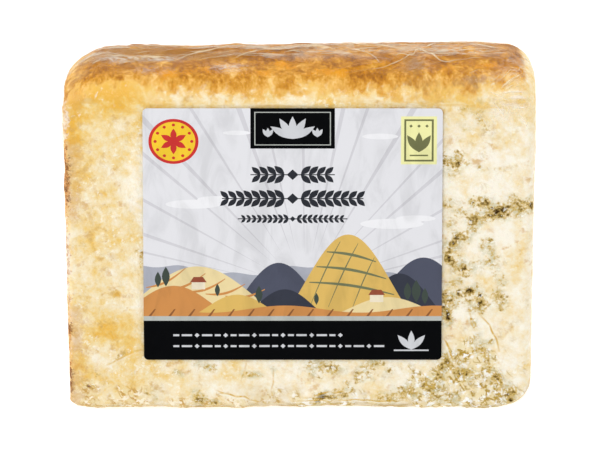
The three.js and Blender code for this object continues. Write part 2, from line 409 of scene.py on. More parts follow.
# The veins on the upper cut face: strength, half width in mm, and points as the place along X and the
# distance from the wheel's axis.
VEINS = [
    (0.75, 2, [(35.5, 80), (38, 77.5), (40.5, 79.5)]), (0.45, 1.9, [(37, 76.5), (39.5, 75.5)]),
    (0.35, 2, [(41, 95), (45.5, 92), (46.5, 88.5)]), (0.3, 2.2, [(40.5, 91), (43, 88.5)]),
    (0.95, 1.7, [(44.5, 67.5), (48, 66.5), (50.5, 65), (52.5, 67)]),
    (1.3, 1.6, [(50.5, 65), (54, 66.5), (56, 65.5), (58.5, 66)]),
    (1.05, 1.5, [(48, 64.5), (52, 64), (53.5, 65)]), (0.6, 1.2, [(55, 64), (55.5, 63)]),
    (0.5, 1.8, [(38.5, 66.5), (40, 64.5), (41.5, 65.5)]), (0.8, 1.6, [(46, 63.5), (44, 62), (43.5, 59.5)]),
    (0.4, 1.6, [(38.5, 62), (38, 60)]), (1, 1.5, [(42, 57.5), (39.5, 57), (38.5, 55.5)]),
    (0.8, 1.8, [(38.5, 55.5), (39.5, 52), (40.5, 49)]), (1.3, 0.9, [(38, 51.5), (38.5, 50.5)]),
    (0.7, 1.6, [(47, 55.5), (48.5, 52), (47.5, 49.5)]), (0.5, 1.9, [(39.5, 47.5), (42.5, 47), (45, 49)]),
    (0.55, 1.4, [(38, 44.5), (40, 44.5)]), (0.9, 1.7, [(36.5, 41), (38.5, 39.5), (40.5, 40)]),
    (1.2, 1, [(36.5, 40), (37, 36.5), (37.5, 34)]), (0.6, 1.6, [(40.5, 40), (43.5, 40)]),
    (1.1, 1.5, [(43.5, 41.5), (45, 42), (46, 40), (46.5, 38)]),
    (0.8, 1.4, [(49.5, 41.5), (51.5, 39.5), (51, 37.5)]), (0.5, 1.4, [(50.5, 47.5), (51, 44.5)]),
    (0.5, 1.1, [(43, 40), (43.5, 34.5), (44, 32.5)]),
    (0.7, 1.4, [(45, 29), (46, 25.5), (47.5, 22.5), (48.5, 19.5)]), (0.6, 1.1, [(46.5, 27), (49, 27.5)]),
    (0.8, 2, [(38.5, 22), (41, 20), (43.5, 18)]),
    (0.9, 1.6, [(48, 19.5), (50, 17.5), (51.5, 16), (53.5, 11)]),
    (0.7, 1.9, [(35.5, 23), (36.5, 19.5), (35, 16)]), (0.8, 2, [(32, 16), (35.5, 13), (39.5, 11)]),
    (0.7, 1.8, [(24, 12), (26, 14.5), (28.5, 13)]), (0.6, 1.6, [(18.5, 11), (21.5, 12), (23.5, 10.5)]),
    (0.6, 2, [(2.5, 23.5), (3.5, 21), (6, 19.5)]), (0.6, 1.6, [(6.5, 19.5), (9, 21), (11, 20.5)]),
    (0.8, 1.8, [(15.5, 18), (17, 19), (18.5, 19)]), (0.6, 1.2, [(16, 20.5), (18.5, 21.5), (20.5, 21)]),
    (0.4, 1.6, [(21.5, 18), (24, 20.5)]), (0.9, 1.6, [(5, 10.5), (6, 12), (9, 13), (11.5, 13.5)]),
    (0.6, 0.9, [(11.5, 16), (13, 14)]), (0.5, 1, [(45.8, 77.3), (48, 76.3), (50.5, 76.4)]),
    (0.4, 1.2, [(40, 94.5), (42.5, 94)]), (0.5, 1.4, [(-25, 20.5), (-22, 20)]),
    (0.6, 1, [(-13.5, 18.5), (-10.5, 18)]), (0.6, 0.8, [(-6.5, 20.5), (-6.5, 18.5)]),
    (0.65, 0.9, [(-31.5, 18.5), (-30.7, 18.2)]), (0.9, 1.2, [(-26, 13.2), (-25.2, 10.8)]),
    (0.9, 0.8, [(-23.5, 11.3), (-21.5, 10.6)]), (0.45, 1.2, [(-38, 13.6), (-36.5, 11.3)]),
    (0.7, 0.9, [(-45, 23.6), (-43.5, 24.2)]), (0.9, 0.9, [(-39.9, 54), (-39.8, 50.5)]),
    (1, 0.8, [(-55.5, 16.2), (-54, 14.8), (-51.5, 14.4)]), (0.35, 1.1, [(-54, 66.5), (-52.5, 64.5)]),
    (0.35, 1.4, [(-47.5, 54), (-47, 51.5)]), (0.4, 1.2, [(-51.5, 18), (-48.5, 16)]),
]
VEIN_SPREAD = 1.25
VEIN_STRENGTH = 0.96
# Thin ochre cracks on the same face: strength and points.
CRACKS = [
    (0.85, [(45.2, 36.2), (48, 32.5), (50, 28.6), (50.9, 24.6)]),
    (1, [(36.5, 28.6), (38, 25.9), (39.3, 21.9)]), (0.4, [(43.1, 38.2), (43.6, 34), (44.5, 30.5)]),
    (0.9, [(-21.5, 14), (-18.5, 13), (-14.5, 12), (-9.7, 10.3)]),
    (0.6, [(3.3, 12.2), (7.5, 13.4), (12.5, 14)]), (0.7, [(-3, 10.4), (3, 11), (8, 10.4)]),
    (0.8, [(7.2, 10.5), (14, 10.9), (21, 10.4), (27.8, 10.9)]),
    (0.5, [(-49.5, 20.8), (-47, 22), (-44, 24), (-39, 26.1)]), (0.5, [(-6.5, 20.5), (-6.7, 16), (-7, 11)]),
    (0.35, [(-13.2, 22.4), (-14, 19), (-14.8, 15.5)]),
]
CRACK_REACH = 1.5  # how far to each side of a crack its attributes hold, in mm
# Golden patches on the same face: place along X, distance from the wheel's axis, reach along and across,
# and strength. None goes deeper under the face than GOLDEN_DEPTH.
GOLDEN_PATCHES = [
    (-51, 96.5, 10, 5.5, 1.25), (-57, 88, 3, 8, 1.1), (-54, 74, 3, 6, 0.45), (-49, 58, 5, 4, 0.3),
    (-46.4, 51, 1.3, 1, 1), (-46.1, 41.2, 1.3, 1, 1), (-46.9, 27, 1.1, 1.3, 0.9), (-42.5, 68, 4, 17, -0.4),
    (-50, 70.5, 3, 3, 0.5), (-50, 34, 6, 7, 0.35), (-46, 30, 12, 14, 0.12), (-55, 21, 4.5, 6, 0.6),
    (-46, 14, 8, 3, 0.22), (38, 97, 6, 3, 0.8), (48, 84, 9, 3, 0.3), (54, 47, 4, 12, 0.4),
    (41, 26, 3, 5, 0.25), (55, 22, 3, 8, 0.35),
]
GOLDEN_DEPTH = 20
# Patches of the crust over the rind, as place along X, way round from the upper ridge, reach along and
# across, and tone: above 0 a strong gold, below 0 a greyer brown.
CRUST_PATCHES = [
    (-33, 7.4, 4.5, 3, 0.8), (-24, 9.3, 4.5, 3, 0.6), (-10.5, 8.7, 6, 3, 0.7), (-3.8, 15, 3.6, 4.5, 0.8),
    (8.5, 8.5, 8.5, 3.2, 0.8), (8.5, 26, 3.5, 3, 0.7), (22, 14, 5, 3, 0.5), (37, 9, 3.5, 5, 0.6),
    (48, 12, 5, 4, 0.8), (44, 30, 4, 4, 0.6), (56, 16, 3, 9, 0.6), (-57, 3, 3, 3, 0.6),
    (-56.5, 10, 4, 4.5, -0.7), (-44, 26, 14, 8, -1.3), (-22, 24, 10, 6, -0.7), (-42, 1, 14, 3, 0.35),
    (-13, 12.5, 3.5, 3, -0.7), (29, 11.5, 3, 7, -1), (44, 3.5, 5, 2.2, -0.6), (34, 1, 16, 4, -0.4),
    (44, 20, 16, 7, -0.35), (13, -1, 2, 3, 0.7), (-8, -1, 3, 3, 0.6), (20, -1, 2, 3, 0.7),
    (-40, 13, 6, 4, -0.4), (0, 42, 80, 17, -0.5), (0, 66, 80, 14, -0.55),
]
# How far down the upper cut face the crust reaches, in mm from the rind, at places along X.
CRUST_REACH = [
    (-60, 2.8), (-54, 1.8), (-46, 1.3), (-38, 1.8), (-30, 3), (-5, 3.1), (20, 3), (34, 3.4), (42, 3.4),
    (47, 1.8), (51, 0.6), (55, -0.6), (60, -1.5),
]
# Marks along the crusted end: distance from the wheel's axis, reach, and tone: above 0 dark, below 0 pale, a
# painted glare of the film over brown specks.
END_MARKS = [
    (77, 5, 0.7), (69, 3.5, 0.6), (53, 8, -1), (42, 4, -0.6), (31.5, 1.6, 1.1), (19, 1.6, 0.9), (15, 2, 1),
    (12, 6, 0.3), (88, 7, -0.5),
]


def crack_lines(at):
    """How far the nearest crack lies to one side or the other, and its strength close to it. Cracks run in
    the upper cut face alone."""
    along, under = by_upper_face(*at[1:])
    u = at[0] + 0.35 * grain(at, 2.1, 21)
    v = along + 0.35 * grain(at, 2.1, 22)
    nearest, sideways, strong = np.full(u.shape, np.inf), np.zeros(u.shape), np.zeros(u.shape)
    for strength, path in CRACKS:
        for i, ((ax, ay), (bx, by)) in enumerate(zip(path, path[1:])):
            t, away = by_line(u, v, (ax, ay), (bx, by))
            taper = np.sin(math.pi * (i + t) / (len(path) - 1)) ** 0.7
            closer = away < nearest
            beside = ((u - ax) * (by - ay) - (v - ay) * (bx - ax)) / math.hypot(bx - ax, by - ay)
            sideways = np.where(closer, beside, sideways)
            strong = np.where(closer, strength * taper, strong)
            nearest = np.minimum(nearest, away)
    return sideways, fade(nearest, 0.4 * CRACK_REACH, CRACK_REACH) * fade(under, 1, 3) * strong


def vein_density(at):
    """How thickly the mould grows: along VEINS near the upper cut face, and in a crooked net elsewhere."""
    x, y, z = at
    along, under = by_upper_face(y, z)
    u = x + 0.7 * grain(at, 3.1, 1) + 0.5 * grain(at, 1.4, 2)
    v = along + 0.7 * grain(at, 3.1, 3) + 0.5 * grain(at, 1.4, 4)
    density = np.zeros(x.shape)
    for strength, width, path in VEINS:
        away = distance_to_path(u, v, path) / (VEIN_SPREAD * width)
        density = np.maximum(density, strength * VEIN_STRENGTH * np.exp(-away * away))
    density *= np.exp(-((under / 9.0) ** 2))
    sheets = np.abs(grain((u, y, z), 7.0, 5) + 0.4 * grain(at, 2.6, 6))
    net = fade(sheets, 0.03, 0.2) * smoothstep(grain(at, 15.0, 7), -0.25, 0.5)
    density = np.maximum(density, 1.2 * net * (1 - np.exp(-((under / 5.0) ** 2))))
    density *= 0.8 + 0.35 * grain(at, 2.4, 8)
    inside = smoothstep(WHEEL_RADIUS - np.hypot(y, z), 4, 9) * smoothstep(x + WEDGE_LENGTH / 2, 2, 6)
    return density * inside


def cell_distance(at, wave, seed):
    """Distance to the nearest of a set of scattered points, about one to each cube of side wave."""
    x, y, z = at
    x, y, z = x / wave + 3.1 * seed, y / wave - 1.7 * seed, z / wave + 0.9 * seed
    i, j, k = np.floor(x), np.floor(y), np.floor(z)
    nearest = np.full(x.shape, np.inf)
    for di, dj, dk in np.ndindex(3, 3, 3):
        ci, cj, ck = i + di - 1, j + dj - 1, k + dk - 1
        px = ci + corner_value(ci, cj, ck)
        py = cj + corner_value(ci + 31, cj - 7, ck)
        pz = ck + corner_value(ci, cj + 19, ck - 13)
        nearest = np.minimum(nearest, (px - x) ** 2 + (py - y) ** 2 + (pz - z) ** 2)
    return np.sqrt(nearest)


def crumbliness(x, from_axis):
    """Where the cheese has broken into crumbs: along the thin edge, most of all at the right."""
    share = fade(from_axis, 17, 23) * smoothstep(x, 22, 32)
    share = np.maximum(share, 0.4 * fade(from_axis, 11, 17))
    share = np.maximum(share, 0.55 * fade(from_axis, 13, 20) * fade(x, -42, -34))
    corner = fade(np.hypot((x - 43) / 9.5, (from_axis - 21) / 8.5), 0.5, 1)
    return np.maximum(share, 0.85 * corner) * (1 - 0.8 * smoothstep(x, 50, 55))


def cheese_relief(at, pits, rind_depth, end_depth):
    """The fine relief of the cheese in mm, and how crumbly it is."""
    crust = np.maximum(fade(rind_depth, 0.6, 2.4), fade(end_depth, 0.6, 1.8))
    crumbs = 0.6 * (0.5 - cell_distance(at, 2.0, 8)) + 0.35 * (0.5 - cell_distance(at, 1.1, 9))
    crumbly = crumbliness(at[0], WHEEL_RADIUS - rind_depth) * (1 - crust)
    cut = 0.10 * grain(at, 3.2, 6) + 0.08 * grain(at, 1.3, 7)
    rough = 0.2 * grain(at, 2.6, 10) + 0.12 * grain(at, 1.2, 11)
    rough -= 0.4 * smoothstep(grain(at, 3.6, 12), 0.5, 0.85)
    return cut * (1 - crust) + rough * crust + crumbs * crumbly - 0.55 * pits, crumbly


def cheese():
    grid = wedge_grid(CHEESE_STEPS, folded=False)
    places, outward = grid.places.reshape(-1, 3), grid.outward.reshape(-1, 3)
    part = grid.part.ravel()
    at = x, y, z = places.T
    _, under = by_upper_face(y, z)
    from_axis = np.hypot(y, z)
    rind_depth = WHEEL_RADIUS - from_axis - rind_taper(x)
    # Where an end rounds over into the rind, the crust follows it part of the way.
    rind_depth *= np.where(part == "rind", 1 - 0.65 * np.sin(math.pi * np.abs(outward[:, 0])), 1.0)
    end_depth = x + WEDGE_LENGTH / 2
    density = vein_density(at)
    pits = smoothstep(density + 0.5 * grain(at, 1.3, 13), 0.7, 1.25)
    beside_crack, near_crack = crack_lines(at)
    free = np.where(part == "top", clear_of_label(x, from_axis), 1.0) * smoothstep(z, 0, 1.5)
    relief, crumbly = cheese_relief(at, pits, rind_depth, end_depth)
    places = places + outward * (relief * free - CHEESE_INSET)[:, None]
    places[:, 2] = np.maximum(places[:, 2], CHEESE_INSET)
    hidden = (part == "base") | (free < 0.01)
    values = {
        "vein_density": density,
        "pit": pits,
        "rind_depth": rind_depth,
        "from_ridge": way_round_rind(y, z) - rind_depth,
        "end_depth": end_depth,
        "crumbly": crumbly,
        "golden": patches(x, from_axis, GOLDEN_PATCHES) * (under < GOLDEN_DEPTH),
        "beside_crack": beside_crack,
        "near_crack": near_crack,
        # Painted shade where the thin edge rounds under towards the floor.
        "under_edge_shade": smoothstep(under, 0.05, 1.7) * fade(from_axis, 13, 18),
        "crust_tone": patches(x, way_round_rind(y, z), CRUST_PATCHES),
        "crust_reach": np.interp(x, *zip(*CRUST_REACH)),
        "end_mark": sum(tone * np.exp(-(((from_axis - a) / reach) ** 2)) for a, reach, tone in END_MARKS),
        "low_on_end": smoothstep(under, 1.5, 6.0),
        "hidden": hidden.astype(float),
    }
    piece = new_mesh("cheese", *welded(places, grid_triangles(*grid.part.shape), values))
    thin_out(piece, "hidden", HIDDEN_KEPT)
    return piece


def thin_out(piece, attribute, ratio):
    """Collapses triangles where the attribute is 1, which never show, and leaves the rest as they are."""
    group = piece.vertex_groups.new(name=attribute)
    weights = np.zeros(len(piece.data.vertices), np.float32)
    piece.data.attributes[attribute].data.foreach_get("value", weights)
    group.add(np.flatnonzero(weights > 0.5).tolist(), 1.0, "REPLACE")
    modifier = piece.modifiers.new("thin_out", "DECIMATE")
    modifier.vertex_group = group.name
    modifier.ratio = ratio
    apply_modifiers(piece)


# ---- The film ----

FILM_STEPS = SimpleNamespace(
    tip=6, base=40, top=92, crowding=1.0, ridge=10, rind=138, round=8, length=205, left_end=20, right_end=20
)

# Sharp pleats of the film over the rind: strength, and points as the place along X and the way round from
# the upper ridge.
RIND_PLEATS = [
    (1, [(-34.5, 14.5), (-30, 20), (-26.5, 25.5), (-22, 30.5), (-18, 34), (-14, 37)]),
    (0.7, [(-28.5, 26.5), (-24.5, 29), (-20.5, 32)]), (0.8, [(-46.5, 13.5), (-43.5, 16.5), (-40, 18)]),
    (0.7, [(-53, 14.5), (-51, 16.5), (-49, 17.5)]), (0.9, [(-49.5, 23.5), (-46.5, 21.5), (-43.5, 19.5)]),
    (1.2, [(-40, 21.5), (-36, 21.5), (-32, 22)]),
    (0.9, [(-18, 17.5), (-14, 21.5), (-10, 28), (-6, 29), (-0.5, 27)]),
    (0.8, [(-4.5, 24), (-2, 25.5), (0.5, 26.5)]), (0.7, [(-22, 14.5), (-21, 12.5), (-20, 9.5)]),
    (0.7, [(-18, 15), (-16.5, 12), (-14.5, 8)]), (0.6, [(-49, 35), (-37, 39), (-26, 40), (-18, 36.5)]),
    (0.8, [(-1, 25.5), (1, 28), (5, 31.5), (10.5, 26)]),
    (1.1, [(9.5, 6), (12.5, 6), (15.5, 7), (20.5, 8.5), (23.5, 11.5), (27, 17), (29.5, 21.5), (31, 26.5),
        (32.5, 20), (34, 15.5), (36, 13), (37.5, 12.5), (39.5, 14), (43.5, 15.5), (46.5, 15), (50, 13),
        (53, 11.5)]),
    (0.8, [(9.5, 40), (15.5, 34), (22, 32.5), (28, 28.5), (31, 27)]),
    (0.9, [(31, 27), (34, 36.5), (37, 42)]), (0.8, [(11.5, 34), (14.5, 25.5), (18.5, 19.5), (21, 10)]),
    (0.7, [(42.5, 5), (44, 6.5), (45.5, 8)]), (0.7, [(45.5, 23.5), (49, 25), (52, 26.5)]),
    (1.5, [(50, -2), (52, 1), (54.5, 4), (56.5, 6.5)]), (1.2, [(51.3, -2.5), (52.5, -1), (54, 0.5)]),
    (0.7, [(53.5, -1), (55.5, 0), (58, 1)]), (0.7, [(49.5, 1.5), (52, 5), (53.5, 9)]),
    (0.7, [(52.5, 3.5), (55, 8), (56, 13)]), (0.6, [(55, 2.5), (56.5, 5.5), (57, 9)]),
    (0.6, [(46.5, 0.5), (49.5, 3.5), (51, 6.5)]),
]
# Sharp pleats over the upper cut face, as the place along X and the distance from the wheel's axis.
FACE_PLEATS = [
    (0.6, [(50, 20.5), (51.5, 18), (52.5, 14.5)]), (0.5, [(37, 17.5), (38.5, 14.5), (39, 12)]),
    (1.3, [(52.5, 96.5), (55, 96.8), (57.5, 96.5)]), (1.2, [(50.5, 98), (53.5, 98.5), (57.5, 98.8)]),
    (1, [(48.5, 95.5), (50, 93.8), (51.5, 91.5)]), (0.6, [(53, 94.5), (55.5, 94), (58, 94.2)]),
    (0.7, [(47.5, 98.5), (50.5, 97), (53, 95.5)]), (0.6, [(50, 96.5), (51, 94), (51.3, 90.5)]),
    (0.5, [(54.5, 92.5), (56, 91), (57.5, 88)]), (0.5, [(43.5, 93.5), (46, 91), (48, 87.5)]),
]
# Patches of painted sheen on the film over the rind: place along X, way round, reach along and across.
SHEEN_PATCHES = [
    (-50, 26, 6, 7, 0.5), (-36, 21, 6, 2.5, 1.4), (-45.5, 19.5, 4, 3, 1.2), (-18, 11.5, 3.5, 3.5, 1.2),
    (-37, 9, 5, 3, 0.5), (27, 29, 14, 7, 0.7), (42, 27, 9, 8, 0.9), (16, 27, 6, 5, 0.6),
    (30, 12, 4, 6, 0.35), (54, 12, 4, 10, 0.6), (3, 31, 12, 5, 0.4), (47, 4, 6, 2.5, 0.35),
]
# The same over the upper cut face, by the distance from the wheel's axis.
FACE_SHEEN = [
    (54, 95.5, 4.5, 4, 1), (49, 92, 3, 3, 0.4),
]

PLEAT_PROFILE = [(-1.0, 0.0), (-0.45, 0.62), (0.0, 1.0), (0.45, 0.62), (1.0, 0.0)]
PLEAT_STEP = 0.6
PLEAT_WIDTHS = (0.28, 0.38)  # the half width of a pleat of strength 1, from and to
PLEAT_HEIGHTS = (0.42, 0.6)  # and its height
FACE_PLEAT_SHAPE = (1.6, 0.4)  # how much wider and lower a pleat is over the cut face
PLEAT_LIFT = 0.02  # how far a pleat's edges lie off the film's skin
FURTHER_PLEATS = 26  # how many long ones there are round the back, and as many short ones over the rind
PLEAT_SEED = 41
END_FANS = ((4, 92), (20, 95), (34, 95), (41, 92), (12, 96), (28, 96))  # angle and distance from the axis


def film_skin():
    """The film without its pleats, as places, triangles and values."""
    grid = wedge_grid(FILM_STEPS, folded=True)
    places = grid.places.reshape(-1, 3)
    x, y, z = places.T
    on_rind, on_face = (grid.part == "rind").ravel(), (grid.part == "top").ravel()
    way_round = way_round_rind(y, z)
    # The haze values set where the film is painted with a pale sheen.
    haze = np.where(on_rind, patches(x, way_round, SHEEN_PATCHES), 0)
    haze += np.where(on_face, patches(x, np.hypot(y, z), FACE_SHEEN), 0)
    over_rind = np.where(on_rind, smoothstep(way_round, 14, 26), 0)
    # crest, haze and the facet values set how strongly the film is painted with glints and sheen.
    values = {
        "crest": np.zeros(len(x)),
        "haze": haze,
        "over_rind": over_rind,
        "sheen_facets": over_rind * (1 - 0.65 * smoothstep(way_round, 30, 48)),
    }
    places[:, 2] = np.maximum(places[:, 2], FILM_OFF_FLOOR)
    return welded(places, grid_triangles(*grid.part.shape), values)


def smooth_path(points, place):
    """Places along a smooth curve through the points, one about every PLEAT_STEP."""
    points = np.array(points, float)
    ends = np.vstack([2 * points[0] - points[1], points, 2 * points[-1] - points[-2]])
    curve = []
    for p0, p1, p2, p3 in zip(ends, ends[1:], ends[2:], ends[3:]):
        count = max(2, int(np.linalg.norm(p2 - p1) / PLEAT_STEP))
        for t in np.linspace(0, 1, count, endpoint=False):
            bend = (2 * p0 - 5 * p1 + 4 * p2 - p3) * t**2 + (3 * p1 - p0 - 3 * p2 + p3) * t**3
            curve.append(0.5 * (2 * p1 + (p2 - p0) * t + bend))
    curve.append(points[-1])
    return [place(*point) for point in curve]


def rind_place(x, way_round):
    angle = WEDGE_ANGLE - way_round / WHEEL_RADIUS
    return Vector((x, WHEEL_RADIUS * math.cos(angle), WHEEL_RADIUS * math.sin(angle)))


def face_place(x, along):
    return Vector((x, *on_upper_face(along, 0)))


def pleat(tree, path, width, height, phase):
    """A thin raised crease that follows a path over the film's skin, uneven and fading at both its ends."""
    snapped = [tree.find_nearest(point)[:2] for point in path]
    places, triangles, crest = [], [], []
    last = len(snapped) - 1
    across = len(PLEAT_PROFILE)
    for i, (place, normal) in enumerate(snapped):
        ahead = snapped[min(i + 1, last)][0] - snapped[max(i - 1, 0)][0]
        side = normal.cross(ahead).normalized()
        size = math.sin(math.pi * (i + 0.35) / (last + 0.7)) ** 0.8
        size *= 0.78 + 0.22 * math.sin(0.45 * i + phase) * math.cos(0.17 * i + 2 * phase)
        for u, lift in PLEAT_PROFILE:
            off = lift * height * size + PLEAT_LIFT
            places.append(place + side * (u * width * size) + normal * off)
            crest.append(lift * size)
    for i in range(last):
        for a in range(i * across, (i + 1) * across - 1):
            b, c, d = a + 1, a + across, a + across + 1
            triangles += [(a, b, c), (b, d, c)]
    return np.array(places), np.array(triangles), np.array(crest)


def further_pleats(draw):
    """Paths of further pleats: long shallow ones round the back, short ones over the rind, and fans at the
    corners of both ends."""
    paths = []
    for _ in range(FURTHER_PLEATS):
        x, way = draw.uniform(-52, 40), draw.uniform(34, 74)
        length, slope = draw.uniform(8, 26), draw.uniform(-0.55, 0.55)
        bend = draw.uniform(-3, 3)
        points = []
        for share in (0, 0.35, 0.7, 1):
            turned = way + slope * length * share + bend * math.sin(math.pi * share)
            points.append((min(x + length * share, 55), turned))
        paths.append(smooth_path(points, rind_place))
    for _ in range(FURTHER_PLEATS):
        x, way = draw.uniform(-52, 42), draw.uniform(17, 38)
        length, slope = draw.uniform(5, 14), draw.uniform(-0.7, 0.9)
        points = [(x, way), (x + length / 2, way + slope * length * 0.6), (x + length, way + slope * length)]
        paths.append(smooth_path(points, rind_place))
    for end in (-WEDGE_LENGTH / 2, WEDGE_LENGTH / 2):
        for angle, start in END_FANS:
            lean = draw.uniform(-4, 4)
            reach = draw.uniform(12, 34)
            points = [around(0, 0, start - reach * share, angle + lean * share) for share in (0, 0.5, 1)]
            paths.append(smooth_path(points, lambda y, z: Vector((end, y, z))))
    return paths


def joined(parts):
    """Places, triangles and values of several parts as one."""
    starts = np.cumsum([0] + [len(places) for places, _, _ in parts])
    triangles = [faces + start for (_, faces, _), start in zip(parts, starts)]
    values = {name: np.concatenate([part[2][name] for part in parts]) for name in parts[0][2]}
    return np.vstack([places for places, _, _ in parts]), np.vstack(triangles), values


def film():
    parts = [film_skin()]
    tree = BVHTree.FromPolygons(parts[0][0].tolist(), parts[0][1].tolist())
    draw = random.Random(PLEAT_SEED)
    paths = [(strength, True, smooth_path(path, rind_place)) for strength, path in RIND_PLEATS]
    paths += [(strength, False, smooth_path(path, face_place)) for strength, path in FACE_PLEATS]
    paths += [(draw.uniform(0.4, 0.7), True, path) for path in further_pleats(draw)]
    for strength, on_rind, path in paths:
        width = strength**1.4 * draw.uniform(*PLEAT_WIDTHS)
        height = strength * draw.uniform(*PLEAT_HEIGHTS)
        if not on_rind:
            width, height = FACE_PLEAT_SHAPE[0] * width, FACE_PLEAT_SHAPE[1] * height
        places, triangles, crest = pleat(tree, path, width, height, draw.uniform(0, 2 * math.pi))
        crest *= min(1.0, 0.4 + 0.6 * strength)
        none = np.zeros(len(crest))
        values = {"crest": crest, "haze": none, "over_rind": none + on_rind, "sheen_facets": none}
        parts.append((places, triangles, values))
    return new_mesh("film", *joined(parts))


# ---- The label ----

HALF = LABEL_WIDTH / 2
BAND_TOP = 11.1
SILVER_TOP = 12.4
FIELD_TOP = 14.4
FURROW_STEP = 5.0
RAYS_FROM = (3.0, 20.0)
PAPER_GRID = 4.0
PAPER_LIFT = 0.12  # how far the paper's printed side lies above the solid label's underside
PAPER_WAVE = 0.07
PAPER_THICKNESS = 0.14
INK_COLOURS = {
    "paper": (226, 226, 230), "ray": (209, 208, 213), "cloud": (238, 238, 241), "far_hill": (170, 173, 184),
    "slate_hill": (74, 78, 96), "shade_hill": (46, 50, 64), "gold_hill": (220, 182, 96),
    "hedge": (112, 118, 84), "cream_hill": (234, 214, 160), "ochre_hill": (206, 140, 74),
    "tree": (58, 70, 62), "furrow": (140, 86, 44), "barn_wall": (238, 226, 200), "barn_roof": (150, 74, 48),
    "silver": (184, 188, 182), "black": (4, 5, 7), "dark": (30, 33, 42), "badge_red": (206, 44, 40),
    "badge_gold": (246, 204, 44), "badge_pale": (240, 238, 170), "badge_olive": (112, 114, 72),
    "pale_grey": (206, 208, 212),
}
CLOUDS = [(-25, 44, 7), (-19, 45.4, 5), (25, 38.5, 8), (31, 40, 5), (22, 63, 4.5), (-14, 64, 3.5)]
# The hedges over the gold hill: start, end and sag.
HEDGES = [
    ((4.5, 15.5), (12, 33.5), -0.8), ((9, 15), (16.5, 33), -0.8), ((15, 14.5), (20.6, 29), -0.6),
    ((4.2, 22), (25.6, 18.5), -0.8), ((6, 26.4), (23.6, 23), -0.8), ((8.6, 30.6), (21, 27.8), -0.6),
]
# The trees: foot and height.
TREES = [
    (-34, 20.5, 4.5), (-32, 20.8, 5.6), (-19, 18, 3.6), (-8.5, 16, 5), (29, 16.8, 5.2), (31.2, 16.3, 6.4),
    (33.4, 15.8, 4.6), (6, 15.6, 3.4),
]
BARNS = [(-25.5, 20), (19.5, 16.4)]


def turns(steps):
    """The angles of evenly spaced points round a circle."""
    return [2 * math.pi * i / steps for i in range(steps)]


def label_outline(steps=5):
    points = []
    corners = [(HALF, LABEL_HEIGHT), (-HALF, LABEL_HEIGHT), (-HALF, 0), (HALF, 0)]
    for quarter, (x, y) in enumerate(corners):
        cx = x - math.copysign(LABEL_CORNER, x)
        cy = y - LABEL_CORNER if y else LABEL_CORNER
        for i in range(steps + 1):
            angle = math.radians(90 * quarter + 90 * i / steps)
            points.append((cx + LABEL_CORNER * math.cos(angle), cy + LABEL_CORNER * math.sin(angle)))
    return points


def oval(x, y, half_width, half_height, steps):
    return [(x + half_width * math.cos(t), y + half_height * math.sin(t)) for t in turns(steps)]


def disc(x, y, radius, steps=48):
    return oval(x, y, radius, radius, steps)


def rectangle(left, bottom, right, top):
    return [(left, bottom), (right, bottom), (right, top), (left, top)]


def diamond(x, y, size):
    return [(x - size / 2, y), (x, y - size / 2), (x + size / 2, y), (x, y + size / 2)]


def leaf(x, y, length, width, degrees):
    """A pointed leaf from (x, y) outwards."""
    c, s = math.cos(math.radians(degrees)), math.sin(math.radians(degrees))
    out = [(i / 6, width / 2) for i in range(7)]
    back = [(1 - i / 6, -width / 2) for i in range(1, 6)]
    points = [(length * share, half * math.sin(math.pi * share)) for share, half in out + back]
    return [(x + u * c - v * s, y + u * s + v * c) for u, v in points]


def leaves(x, y, length, width, angles):
    return [leaf(x, y, length, width, angle) for angle in angles]


def hill(waves, top, steps=60):
    """Land up to a rolling skyline across the label, given as (height, wavelength, phase) waves."""
    points = [(HALF, SILVER_TOP), (-HALF, SILVER_TOP)]
    for i in range(steps + 1):
        x = lerp(-HALF, HALF, i / steps)
        y = top + sum(h * math.sin(2 * math.pi * (x / wave + phase)) for h, wave, phase in waves)
        points.append((x, y))
    return points


def mound(middle, half_width, top, steps=40):
    """A rounded hill that rises from the silver line."""
    points = [(middle + half_width, SILVER_TOP), (middle - half_width, SILVER_TOP)]
    for i in range(1, steps):
        share = i / steps
        rise = (1 - math.cos(2 * math.pi * share)) / 2
        points.append((middle + half_width * (2 * share - 1), SILVER_TOP + (top - SILVER_TOP) * rise**0.7))
    return points


def hedge(start, end, sag, width, steps=14):
    """A thin curved line of hedge over a hill, thicker in its middle."""
    (ax, ay), (bx, by) = start, end
    upper, lower = [], []
    for i in range(steps + 1):
        share = i / steps
        x, y = lerp(ax, bx, share), lerp(ay, by, share) - sag * math.sin(math.pi * share)
        half = width / 2 * (0.35 + 0.65 * math.sin(math.pi * share))
        upper.append((x, y + half))
        lower.append((x, y - half))
    return lower + upper[::-1]


def ray(degrees, width):
    """A thin ray of light from behind the hills, past the label's edge."""
    c, s = math.cos(math.radians(degrees)), math.sin(math.radians(degrees))
    x, y = RAYS_FROM
    near, far = 10.0, 90.0
    return [
        (x + near * c, y + near * s),
        (x + far * c - width * s, y + far * s + width * c),
        (x + far * c + width * s, y + far * s - width * c),
    ]


def garland(y, half_length, leaf_length, gap):
    """A sprig either way from the middle: a stem with pairs of leaves, a little smaller towards its ends."""
    shapes = [rectangle(-half_length, y - 0.14, half_length, y + 0.14), diamond(0, y, 0.8 * leaf_length)]
    for side in (-1, 1):
        x = 0.55 * leaf_length
        while x < half_length - 0.35 * leaf_length:
            size = leaf_length * (1 - 0.2 * x / half_length)
            shapes += leaves(side * x, y, size, size * 0.46, (44, -44) if side > 0 else (136, 224))
            x += gap
    return shapes


def chain(left, right, y, size):
    """A row of small diamonds and bars in turn."""
    shapes = []
    x = left
    step = 0
    while x < right:
        if step % 3 == 2:
            shapes.append(diamond(x + size / 2, y, size))
            x += 1.5 * size
        else:
            wide = size * (1.2 + 0.9 * (step % 2))
            shapes.append(rectangle(x, y - 0.22 * size, x + wide, y + 0.22 * size))
            x += wide + 0.5 * size
        step += 1
    return shapes


